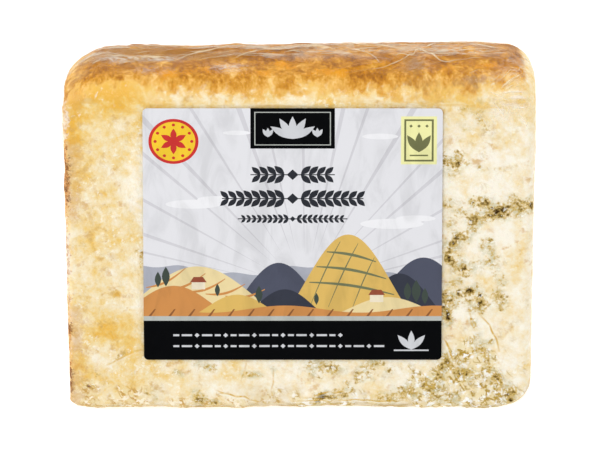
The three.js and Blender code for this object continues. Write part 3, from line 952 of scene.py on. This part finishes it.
def sky(add):
    """Rays of light and long flat clouds."""
    for i in range(19):
        degrees = 4 + 9.6 * i + 1.8 * math.sin(2.1 * i)
        add("ray", ray(degrees, 0.7 + 0.5 * math.sin(1.3 * i) ** 2))
    for x, y, wide in CLOUDS:
        add("cloud", oval(x, y, wide, 0.18 * wide, 28))


def land(add):
    """Fields and hills: ochre at the left, gold with dark hedges in the middle, slate behind and right."""
    add("far_hill", hill([(1.3, 41, 0.1), (0.6, 13, 0.4)], 25.5))
    add("slate_hill", mound(-3.5, 14, 27.5), mound(33, 16, 29.0))
    add("shade_hill", mound(27, 12, 24.5))
    add("cream_hill", mound(-24, 22, 26.5))
    for i in range(5):
        add("ochre_hill", hedge((-37 + 5 * i, 20.5 - 0.6 * i), (-27 + 5 * i, 26.0 - 1.5 * i), 1.2, 0.7))
    add("gold_hill", mound(14, 17, 35.5))
    for start, end, sag in HEDGES:
        add("hedge", hedge(start, end, sag, 0.8))
    add("shade_hill", mound(-2, 11, 20.0))
    add("ochre_hill", mound(-30, 15, 21.0))
    add("gold_hill", mound(-14, 12, 18.5))
    add("cream_hill", mound(24, 15, 17.8))
    add("ochre_hill", hill([(1.0, 38, 0.3)], FIELD_TOP))
    for i in range(15):
        x = -HALF + 1.2 + FURROW_STEP * i
        foot = [(x, SILVER_TOP), (x + 0.7, SILVER_TOP)]
        add("furrow", foot + [(x + 1.9, FIELD_TOP), (x + 1.5, FIELD_TOP)])
    for x, y, tall in TREES:
        add("tree", leaf(x, y, tall, 0.36 * tall, 90))
    for x, y in BARNS:
        add("barn_wall", rectangle(x, y, x + 3.4, y + 2.0))
        add("barn_roof", [(x - 0.4, y + 2.0), (x + 3.8, y + 2.0), (x + 2.9, y + 3.5), (x + 0.5, y + 3.5)])


def tab(add):
    """The black tab at the top, with a thin frame and a spread of leaves."""
    add("black", rectangle(-10.6, 59.6, 10.6, LABEL_HEIGHT))
    add("silver", rectangle(-9.6, 60.5, 9.6, 60.75), rectangle(-9.6, 69.6, 9.6, 69.85))
    add("silver", rectangle(-9.6, 60.5, -9.35, 69.85), rectangle(9.35, 60.5, 9.6, 69.85))
    add("pale_grey", leaf(0, 62.3, 6.3, 2.0, 90), *leaves(0, 62.3, 6.6, 2.0, (60, 120, 32, 148)))
    for side in (-1, 1):
        add("pale_grey", *leaves(side * 6.2, 62.8, 2.6, 1.0, (60, 90, 120)))


def badges(add):
    """A round badge with a flower at the left, and an upright one with a bud at the right."""
    x, y = -29.9, 61.6
    add("badge_red", disc(x, y, 6.3))
    add("badge_gold", disc(x, y, 5.5))
    add("badge_red", *leaves(x, y, 3.6, 1.6, range(30, 390, 60)))
    add("badge_red", *[disc(*around(x, y, 4.6, angle), 0.42, 10) for angle in range(0, 360, 30)])
    add("badge_pale", rectangle(27.2, 55.2, 36.2, 68.6))
    add("badge_olive", rectangle(28.0, 56.0, 35.4, 67.8))
    add("badge_pale", rectangle(28.5, 56.5, 34.9, 67.3))
    add("badge_olive", *leaves(31.7, 58.6, 5.6, 1.9, (90, 58, 122)))
    add("badge_olive", *[diamond(31.7 + i, 65.9, 0.9) for i in (-2, 0, 2)])
    add("badge_olive", rectangle(29.4, 57.5, 34.0, 57.9))


def label_print():
    """What is printed on the label, from the back to the front: (ink, outline) with the origin in the
    middle of the label's lower edge."""
    shapes = []

    def add(ink, *outlines):
        shapes.extend((ink, outline) for outline in outlines)

    sky(add)
    land(add)
    add("silver", rectangle(-HALF, BAND_TOP, HALF, SILVER_TOP))
    add("black", rectangle(-HALF, 0, HALF, BAND_TOP))
    tab(add)
    add("dark", *garland(52.3, 10.6, 3.7, 2.0))
    add("dark", *garland(45.6, 17.8, 3.7, 2.0))
    add("dark", *garland(39.9, 13.8, 1.9, 1.35))
    badges(add)
    add("pale_grey", *chain(-30.2, 13.0, 7.0, 1.25), *chain(-30.2, 23.0, 3.9, 1.25))
    add("pale_grey", *leaves(30.0, 2.9, 5.4, 1.7, (90, 50, 130)))
    add("pale_grey", rectangle(25.6, 2.5, 34.4, 2.9))
    return shapes


def anticlockwise(outline):
    doubled_area = sum(ax * by - bx * ay for (ax, ay), (bx, by) in zip(outline, outline[1:] + outline[:1]))
    return outline if doubled_area > 0 else outline[::-1]


def label():
    """One sheet of paper, cut up along the outlines of its print, with an ink for each face."""
    shapes = [("paper", label_outline())] + label_print()
    points, faces = [], []
    for _, shape in shapes:
        faces.append(list(range(len(points), len(points) + len(shape))))
        points += [Vector(p) for p in anticlockwise(shape)]
    for x in np.arange(-HALF + PAPER_GRID / 2, HALF, PAPER_GRID):
        for y in np.arange(PAPER_GRID / 2, LABEL_HEIGHT, PAPER_GRID):
            points.append(Vector((x, y)))
    flat, _, cells, _, _, owners = delaunay_2d_cdt(points, [], faces, 0, 1e-5)
    kept = [(cell, own) for cell, own in zip(cells, owners) if 0 in own]
    used = sorted({corner for cell, _ in kept for corner in cell})
    place_of = {corner: i for i, corner in enumerate(used)}
    u = np.array([flat[corner].x for corner in used])
    w = np.array([flat[corner].y for corner in used])
    lift = LABEL_GAP + PAPER_LIFT + PAPER_WAVE * noise(u / 17 + 5, w / 23, 0 * u + 0.5)
    places = np.stack([u + LABEL_CENTRE_X, *on_upper_face(LABEL_LOWER_EDGE + w, lift)], axis=1)
    faces = [[place_of[corner] for corner in cell] for cell, _ in kept]
    piece = new_mesh("paper_label", places, faces, smooth=False)
    inks = list(INK_COLOURS)
    for name in inks:
        piece.data.materials.append(ink_material(name))
    piece.data.polygons.foreach_set("material_index", [inks.index(shapes[max(own)][0]) for _, own in kept])
    solid = piece.modifiers.new("thickness", "SOLIDIFY")
    solid.thickness = PAPER_THICKNESS * MM
    solid.offset = -1
    apply_modifiers(piece)
    return piece


# ---- Materials ----


def linear(r, g, b):
    """A linear colour from the 0 to 255 numbers of a screen colour."""

    def one(value):
        value = value / 255
        return value / 12.92 if value <= 0.04045 else ((value + 0.055) / 1.055) ** 2.4

    return (one(r), one(g), one(b), 1.0)


class Value:
    """A number, colour, direction or shader that a material works out at every point."""

    def __init__(self, graph, socket):
        self.graph = graph
        self.socket = socket

    def math(self, operation, other=None, **settings):
        return self.graph.node("ShaderNodeMath", {0: self, 1: other}, operation=operation, **settings)

    def __add__(self, other):
        return self.math("ADD", other)

    def __sub__(self, other):
        return self.math("SUBTRACT", other)

    def __mul__(self, other):
        return self.math("MULTIPLY", other)

    def ramp(self, low, high, out_low=0.0, out_high=1.0):
        """The value from low to high, eased, as a number from out_low to out_high."""
        inputs = dict(enumerate((self, low, high, out_low, out_high)))
        return self.graph.node("ShaderNodeMapRange", inputs, interpolation_type="SMOOTHSTEP")


class Graph:
    """The nodes of one material, made and linked by short calls."""

    def __init__(self, name):
        self.material = bpy.data.materials.new(name)
        self.material.use_nodes = True
        self.tree = self.material.node_tree
        self.tree.nodes.clear()
        self.coordinates = self.node("ShaderNodeTexCoord", output="Object")

    def node(self, kind, inputs=None, output=0, **settings):
        """One output of a new node, whose inputs are linked to values or set."""
        made = self.tree.nodes.new(kind)
        for name, value in settings.items():
            setattr(made, name, value)
        for name, value in (inputs or {}).items():
            if isinstance(value, Value):
                self.tree.links.new(value.socket, made.inputs[name])
            elif value is not None:
                made.inputs[name].default_value = value
        return Value(self, made.outputs[output])

    def finish(self, shader):
        surface = self.tree.nodes.new("ShaderNodeOutputMaterial").inputs["Surface"]
        self.tree.links.new(shader.socket, surface)
        return self.material

    def attribute(self, name):
        return self.node("ShaderNodeAttribute", output="Fac", attribute_name=name)

    def mix(self, share, *colours):
        """The first colour blended into the second. A screen colour is (red, green, blue)."""
        a, b = (linear(*c) if isinstance(c, tuple) and len(c) == 3 else c for c in colours)
        return self.node("ShaderNodeMix", {0: share, 6: a, 7: b}, output=2, data_type="RGBA")

    def palette(self, value, stops):
        """A colour for a value, blended between stops of (value, red, green, blue)."""
        made = self.node("ShaderNodeValToRGB", {"Fac": value})
        points = made.socket.node.color_ramp.elements
        for i, (place, *colour) in enumerate(stops):
            point = points[i] if i < 2 else points.new(place)
            point.position = place
            point.color = linear(*colour)
        return made

    def stretched(self, scale, turn=(0, 0, 0)):
        """The object's coordinates, turned and then scaled along each axis."""
        turned = self.node("ShaderNodeMapping", {"Vector": self.coordinates, "Rotation": turn})
        return self.node("ShaderNodeMapping", {"Vector": turned, "Scale": scale})

    def noise(self, size, detail=2.0, roughness=0.5, distortion=0.0, vector=None):
        """Noise from 0 to 1 with features of about size mm."""
        inputs = {
            "Vector": vector or self.coordinates,
            "Scale": 1 / (size * MM),
            "Detail": detail,
            "Roughness": roughness,
            "Distortion": distortion,
        }
        return self.node("ShaderNodeTexNoise", inputs)

    def uneven(self, base, *noises, roughness=0.65, distortion=0.7, vector=None):
        """base with noise added: (size in mm, how strongly it tells)."""
        for size, weight in noises:
            base = (self.noise(size, 4.0, roughness, distortion, vector) - 0.5) * weight + base
        return base

    def strokes(self, size, degrees, width):
        """Thin broken lines over the upper cut face, about size mm apart, at an angle down from +X."""
        vector = self.stretched((0.4, 1.0, 1.0), (-WEDGE_ANGLE, 0, math.radians(degrees)))
        off_line = (self.noise(size, 1.5, 0.5, 0.2, vector) - 0.5).math("ABSOLUTE")
        return off_line.ramp(2 * width, 0.5 * width)

    def bump(self, height, distance, strength):
        inputs = {"Height": height, "Distance": distance * MM, "Strength": strength}
        return self.node("ShaderNodeBump", inputs)

    def principled(self, **inputs):
        names = {
            "colour": "Base Color",
            "roughness": "Roughness",
            "normal": "Normal",
            "specular": "Specular IOR Level",
            "subsurface": "Subsurface Weight",
            "radius": "Subsurface Radius",
            "scale": "Subsurface Scale",
            "glow": "Emission Color",
            "glow_strength": "Emission Strength",
        }
        return self.node("ShaderNodeBsdfPrincipled", {names[name]: value for name, value in inputs.items()})


class Coats:
    """Colours laid one over another."""

    def __init__(self, graph, colour):
        self.graph = graph
        self.colour = colour

    def add(self, top, share, *limits):
        """Lays top over what is there, as thick as share, and only where all of limits let it."""
        for limit in limits:
            share = share * limit
        self.colour = self.graph.mix(share, self.colour, top)


PASTE_COLOURS = [
    (0, 253, 246, 229),
    (0.25, 248, 235, 206),
    (0.5, 243, 220, 168),
    (0.75, 239, 203, 122),
    (1, 236, 184, 80),
]
CRUST_COLOURS = [
    (0, 140, 88, 40),
    (0.3, 186, 122, 44),
    (0.5, 212, 150, 56),
    (0.75, 236, 184, 98),
    (1, 247, 214, 148),
]


def paste(g, rind_depth, end_depth):
    """Cream to golden, more golden under the rind and towards the crusted end, softly mottled, with painted
    shade where the thin edge rounds under.
    """
    near_rind = rind_depth.ramp(24, 4, 0, 0.24)
    near_end = end_depth.ramp(66, 10, 0, 0.22)
    patchy = g.noise(5, 3, 0.55).ramp(0.34, 0.66, 0.1, 0.6)
    golden = near_rind + near_end + 0.19 + g.attribute("golden") * patchy
    turned = g.stretched((1, 1, 1), (0.6, 0.4, 0.9))
    sizes = (15, 0.9), (6, 1), (2.4, 0.9), (0.9, 0.5)
    golden = g.uneven(golden, *sizes, roughness=0.55, distortion=0.4, vector=turned)
    coats = Coats(g, g.palette(golden, PASTE_COLOURS))
    flecks = g.noise(1.2, 3, 0.6).ramp(0.56, 0.66, 0, 0.65)
    coats.add((255, 248, 230), flecks, g.noise(9).ramp(0.4, 0.56))
    dabs = g.noise(2.6, 3, 0.6).ramp(0.52, 0.7, 0, 0.7)
    spread = g.noise(11).ramp(0.48, 0.6).math("MAXIMUM", end_depth.ramp(14, 4, 0, 0.8))
    coats.add((212, 166, 90), dabs, spread)
    lines = g.noise(1.5, 2, 0.5, 0.3, g.stretched((0.12, 1, 1))).ramp(0.54, 0.64, 0, 0.5)
    coats.add((230, 188, 102), lines, rind_depth.ramp(4, 6) * rind_depth.ramp(10, 7))
    # Painted shade, patchy, where the thin edge rounds under towards the floor.
    shade_patches = g.noise(3.2, 3, 0.6, 0, g.stretched((0.5, 1, 1))).ramp(0.36, 0.6, 0.3, 0.82)
    coats.add((176, 140, 62), g.attribute("under_edge_shade"), shade_patches)
    return coats


def add_crumbs(g, coats, end_depth):
    """Crumbs painted with light and shade: pale tops that are partly a painted highlight, darker paste
    between them, and crevices of painted ochre to olive shade that are browner towards the crusted end.
    """
    loose = (g.attribute("crumbly") + g.noise(4, 3).ramp(0.3, 0.7, -0.35, 0.35)).ramp(0.15, 0.75)
    leftwards = end_depth.ramp(70, 40)
    crumb_shading = g.noise(1.5, 2.5, 0.6, 0.2)
    # Darker paste between the crumbs, partly painted shade.
    coats.add((238, 220, 170), crumb_shading.ramp(0.56, 0.42), loose, 0.7)
    # The crevices are painted shade: thin ochre strokes between the crumbs.
    strokes = g.strokes(1.6, 62, 0.034).math("MAXIMUM", g.strokes(2.2, 15, 0.02))
    crevice_shade = g.mix(leftwards, (184, 150, 62), (206, 162, 86))
    coats.add(crevice_shade, strokes, loose, g.noise(2.2).ramp(0.42, 0.56))
    # Pale tops of the crumbs: partly the paste's own colour, partly a painted highlight.
    coats.add(g.mix(leftwards, (255, 253, 246), (253, 241, 214)), crumb_shading.ramp(0.53, 0.62), loose)


def add_veins(g, coats, end_depth):
    """A grey-green haze, then golden brown, then olive, and dark in the pits, all browner by the crust, with
    painted glints where the mould grows.
    """
    density = g.attribute("vein_density")
    speck = (g.noise(1.7, 2, 0.5, 0.2) - 0.5) * 2.1 + (g.noise(0.7) - 0.5) * 1.8
    vein = density + g.attribute("pit") * 0.25 + speck
    grown = density.ramp(0.04, 0.3)
    aged = end_depth.ramp(26, 14)
    hazy = g.noise(2.6, 4, 0.65).ramp(0.4, 0.62, 0.1, 1)
    coats.add(g.mix(aged, (200, 193, 156), (220, 186, 136)), density.ramp(0.02, 0.5, 0, 0.75), hazy)
    coats.add((206, 170, 78), vein.ramp(0.28, 0.75, 0, 0.78), grown)
    coats.add(g.mix(aged, (132, 106, 44), (156, 108, 66)), vein.ramp(0.68, 1.08, 0, 0.85), grown)
    coats.add(g.mix(aged, (56, 36, 14), (112, 74, 44)), vein.ramp(1.05, 1.45, 0, 0.95), grown)
    # Painted glints: small pale specks where the mould grows.
    painted_glints = g.noise(0.9).ramp(0.6, 0.68, 0, 0.7)
    coats.add((255, 251, 238), painted_glints, density.ramp(0.12, 0.35))


def add_cracks(g, coats):
    """A thin ochre line, with a painted highlight beside it: a pale line along one side."""
    close = g.attribute("near_crack")
    beside = g.attribute("beside_crack")
    # Painted highlight: a pale line beside the crack.
    coats.add((255, 251, 236), beside.ramp(0.2, 0.45) * beside.ramp(1, 0.6), close, 0.6)
    broken = g.noise(1.6, 3).ramp(0.34, 0.5, 0.45, 1)
    coats.add((212, 166, 36), beside.math("ABSOLUTE").ramp(0.3, 0.1), close, broken)


def add_crust(g, coats, rind_depth, end_depth):
    """Caramel with stronger gold and greyer patches, and lighter towards the upper ridge and the ends. It
    ends on the cut faces in a ragged line with pale smears beyond."""
    from_ridge = g.attribute("from_ridge")
    down_rind = g.stretched((1, 0.55, 0.55))
    ragged = rind_depth - g.attribute("crust_reach")
    ragged = ragged + g.noise(2, 3, 0.5, 0.2, down_rind).ramp(0.34, 0.66, -0.75, 0.75)
    ragged = ragged + g.noise(5, 3).ramp(0.35, 0.65, -1.1, 1.1)
    towards_ends = end_depth.ramp(34, 12, 0, 0.16) + end_depth.ramp(108, 117, 0, 0.34)
    tone = from_ridge.ramp(13, -4, 0.33, 0.67) + towards_ends * from_ridge.ramp(11, 1)
    sizes = (8, 0.9), (3, 1.15), (1.2, 0.9), (0.5, 0.6)
    mottled = g.uneven(0, *sizes, roughness=0.6, distortion=0.25, vector=down_rind)
    crust = Coats(g, g.palette(tone + mottled * from_ridge.ramp(-3, 5, 0.6, 1), CRUST_COLOURS))
    crust_tone = g.uneven(g.attribute("crust_tone"), (2.2, 1.8), vector=down_rind)
    crust.add((234, 158, 38), crust_tone.ramp(0.2, 0.9, 0, 0.75))
    crust.add((160, 112, 58), crust_tone.ramp(-0.2, -0.9, 0, 0.7))
    smear = ragged.ramp(3.2, 1.2) * g.noise(2.4, 3, 0.55).ramp(0.42, 0.58)
    coats.add((253, 240, 208), smear * g.attribute("golden").ramp(0.45, 0.1), 0.4)
    coats.add((238, 194, 104), ragged.ramp(2.8, -0.4), g.noise(1.6, 3).ramp(0.3, 0.55))
    coats.add(crust.colour, ragged.ramp(0.9, -1.3))
    coats.add(crust.colour, rind_depth.ramp(1, 0.3), from_ridge.ramp(-2, 5))


def add_crusted_end(g, coats, end_depth):
    """A narrow frayed strip, dark in places, and in others a painted glare of the film over brown specks,
    with tan paste beside it. Lower down the end is as brown as the rind."""
    mark = g.attribute("end_mark")
    low_down = g.attribute("low_on_end")
    uneven_mark = g.uneven(mark, (1.6, 3), (0.6, 2.4))
    tan = g.uneven(end_depth, (4, 12), (1.3, 12)).ramp(7, 2.5, 0, 0.5)
    coats.add((210, 160, 96), tan, mark.ramp(-0.5, -0.05))
    # Painted glare of the film: pale, flecked with brown.
    painted_glare = g.mix(g.noise(1.1, 3, 0.6).ramp(0.44, 0.6), (236, 222, 204), (196, 150, 112))
    browned = g.mix(uneven_mark.ramp(-0.2, 0.4), (228, 188, 128), (204, 140, 78))
    strip = g.mix(uneven_mark.ramp(-0.1, -0.6), browned, painted_glare)
    strip = g.mix(uneven_mark.ramp(0.35, 0.75), strip, (104, 66, 34))
    dry = g.palette(g.uneven(0.45, (9, 1.2), (3, 1.2), (1.2, 0.7)), CRUST_COLOURS)
    frayed = g.uneven(end_depth, (2.2, 6))
    coats.add(g.mix(low_down, strip, dry), frayed.ramp(2, 1.2), 0.9)
    spots = uneven_mark.ramp(0.55, 0.85) * g.uneven(end_depth, (1, 4)).ramp(3.2, 1.6)
    coats.add((140, 90, 50), spots, 0.75, low_down.ramp(0.6, 0.1))


def cheese_material():
    g = Graph("cheese")
    rind_depth = g.attribute("rind_depth")
    end_depth = g.attribute("end_depth")
    coats = paste(g, rind_depth, end_depth)
    add_crumbs(g, coats, end_depth)
    add_veins(g, coats, end_depth)
    add_cracks(g, coats)
    add_crust(g, coats, rind_depth, end_depth)
    add_crusted_end(g, coats, end_depth)
    grainy = g.noise(1.4, 3, 0.6) + g.noise(0.5) * 0.6
    material = g.principled(
        colour=coats.colour,
        roughness=g.noise(3).ramp(0.3, 0.7, 0.42, 0.62),
        specular=0.0,
        subsurface=0.06,
        radius=(1.0, 0.6, 0.3),
        scale=MM,
        normal=g.bump(grainy, 0.3, 0.9),
    )
    return g.finish(material)


def film_material():
    """Clear and glossy, with patches and facets of painted sheen over the rind, and painted glints along the
    crests of its pleats.
    """
    g = Graph("clear_film")
    wrinkle = g.noise(3.2, 3, 0.55, 1, g.stretched((0.45, 1, 1), (0, 0, 0.3)))
    normal = g.bump(wrinkle, 0.2, 0.5)
    # Painted sheen: some facets of the film over the rind are painted pale.
    vector = g.stretched((0.4, 1, 1), (0.2, 0.5, 0.25))
    cells = g.node("ShaderNodeTexVoronoi", {"Vector": vector, "Scale": 1 / (4.5 * MM)}, output="Color")
    facet_sheen = g.node("ShaderNodeSeparateColor", {"Color": cells}).ramp(0.5, 0.8, 0, 0.42)
    facet_sheen = facet_sheen * g.attribute("sheen_facets") * g.noise(5, 3, 0.6).ramp(0.36, 0.6, 0.2, 1)
    painted_sheen = facet_sheen + g.attribute("haze") * g.noise(2.4, 3, 0.6, 1.5).ramp(0.35, 0.65, 0, 0.45)
    # Where painted glints and sheen lie, the film turns into a pale coat.
    painted_glints_and_sheen = (g.attribute("crest") * 0.95).math("ADD", painted_sheen, use_clamp=True)
    # The film reflects more at a glancing angle, and the same from both sides.
    slant = g.node("ShaderNodeLayerWeight", {"Blend": 0.5, "Normal": normal}, output="Facing")
    mirror_share = slant.math("POWER", 5.0) * 0.11 + 0.008
    gloss = g.node("ShaderNodeBsdfGlossy", {"Color": (0.8, 0.8, 0.8, 1), "Roughness": 0.1, "Normal": normal})
    clear = g.node("ShaderNodeBsdfTransparent")
    skin = g.node("ShaderNodeMixShader", {0: mirror_share, 1: clear, 2: gloss})
    # The colour of the painted glints and sheen: whiter over the cut face, creamier over the rind.
    glint_colour = g.mix(g.attribute("over_rind"), (254, 248, 236), (245, 226, 187))
    pale = g.principled(colour=glint_colour, roughness=0.3, normal=normal)
    return g.finish(g.node("ShaderNodeMixShader", {0: painted_glints_and_sheen, 1: skin, 2: pale}))


def ink_material(name):
    """Print on coated paper: a little uneven in tone, with a satin sheen."""
    g = Graph("ink_" + name)
    colour = linear(*INK_COLOURS[name])
    darker = tuple(0.86 * part for part in colour[:3]) + (1.0,)
    blotches = g.noise(6, 4, 0.6, 0.8, g.stretched((1, 0.35, 0.35)))
    material = g.principled(
        colour=g.mix(blotches.ramp(0.42, 0.7), colour, darker),
        roughness=g.noise(2, 3).ramp(0.3, 0.7, 0.3, 0.42),
        specular=0.04 if name == "black" else 0.3,
        normal=g.bump(g.noise(0.35), 0.02, 0.4),
    )
    return g.finish(material)


def floor_material():
    g = Graph("floor")
    shade = g.noise(60).ramp(0.3, 0.7, 0.93, 0.95)
    colour = g.node("ShaderNodeCombineColor", {"Red": shade, "Green": shade, "Blue": shade})
    glow = dict(glow=(1, 1, 1, 1), glow_strength=0.5)
    return g.finish(g.principled(colour=colour, roughness=0.7, specular=0.2, **glow))


# ---- Floor, light and camera ----

FLOOR_REACH = 6.0  # metres
LIT_POINT = (0, 0, 0.03)
# How the camera sees the wedge: mm to a pixel of the 600 by 450 frame, the camera's height above the
# horizon, and the frame's middle as x and the height up the picture from the wheel's axis.
MM_PER_PIXEL = 0.252
FRAME_WIDTH = 600
CAMERA_ELEVATION = math.radians(71.6)
CAMERA_DISTANCE = 3000.0
AIM_X = 0.25
AIM_UP = 54.5
AIM_DEPTH = 25.0
SENSOR = 36.0


def floor():
    mesh = bpy.data.meshes.new("floor")
    far = FLOOR_REACH
    mesh.from_pydata([(-far, -far, 0), (far, -far, 0), (far, far, 0), (-far, far, 0)], [], [(0, 1, 2, 3)])
    piece = in_scene("floor", mesh)
    piece.data.materials.append(floor_material())


def area_light(name, place, size, power):
    data = bpy.data.lights.new(name, "AREA")
    data.shape = "RECTANGLE"
    data.size, data.size_y = size
    data.energy = power
    lamp = in_scene(name, data)
    lamp.location = place
    lamp.rotation_euler = (Vector(LIT_POINT) - Vector(place)).to_track_quat("-Z", "Y").to_euler()


def lights():
    world = bpy.data.worlds.new("studio")
    world.use_nodes = True
    background = world.node_tree.nodes["Background"]
    background.inputs["Color"].default_value = (1, 1, 1, 1)
    background.inputs["Strength"].default_value = 0.592
    bpy.context.scene.world = world
    area_light("overhead", (-0.35, -0.15, 1.15), (0.8, 0.8), 5.35)
    area_light("behind", (0.35, 0.9, 0.75), (0.7, 0.35), 1.8)
    area_light("left", (-0.9, 0.1, 0.5), (0.3, 0.8), 2.2)
    area_light("right", (0.9, 0.1, 0.5), (0.3, 0.8), 1.1)


def camera():
    up = np.array([0, math.sin(CAMERA_ELEVATION), math.cos(CAMERA_ELEVATION)])
    towards = np.array([0, -math.cos(CAMERA_ELEVATION), math.sin(CAMERA_ELEVATION)])
    aim = np.array([AIM_X, 0, 0]) + up * AIM_UP + towards * AIM_DEPTH
    data = bpy.data.cameras.new("camera")
    data.sensor_width = SENSOR
    data.lens = SENSOR * CAMERA_DISTANCE / (MM_PER_PIXEL * FRAME_WIDTH)
    data.clip_start, data.clip_end = 0.1, 20
    made = in_scene("camera", data)
    made.location = in_row_frame(aim + towards * CAMERA_DISTANCE)
    made.rotation_euler = (math.pi / 2 - CAMERA_ELEVATION, 0, 0)
    bpy.context.scene.camera = made


def main():
    camera()
    lights()
    floor()

    wedge = cheese()
    wedge.data.materials.append(cheese_material())
    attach(wedge, "root")
    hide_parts("wrapped_wedge")

    wrap = film()
    wrap.data.materials.append(film_material())
    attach(wrap, "root")
    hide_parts("wrapped_wedge")

    sticker = label()
    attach(sticker, "root")
    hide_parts("label")

    bpy.context.scene.view_settings.view_transform = "Standard"
    bpy.context.view_layer.update()


main()
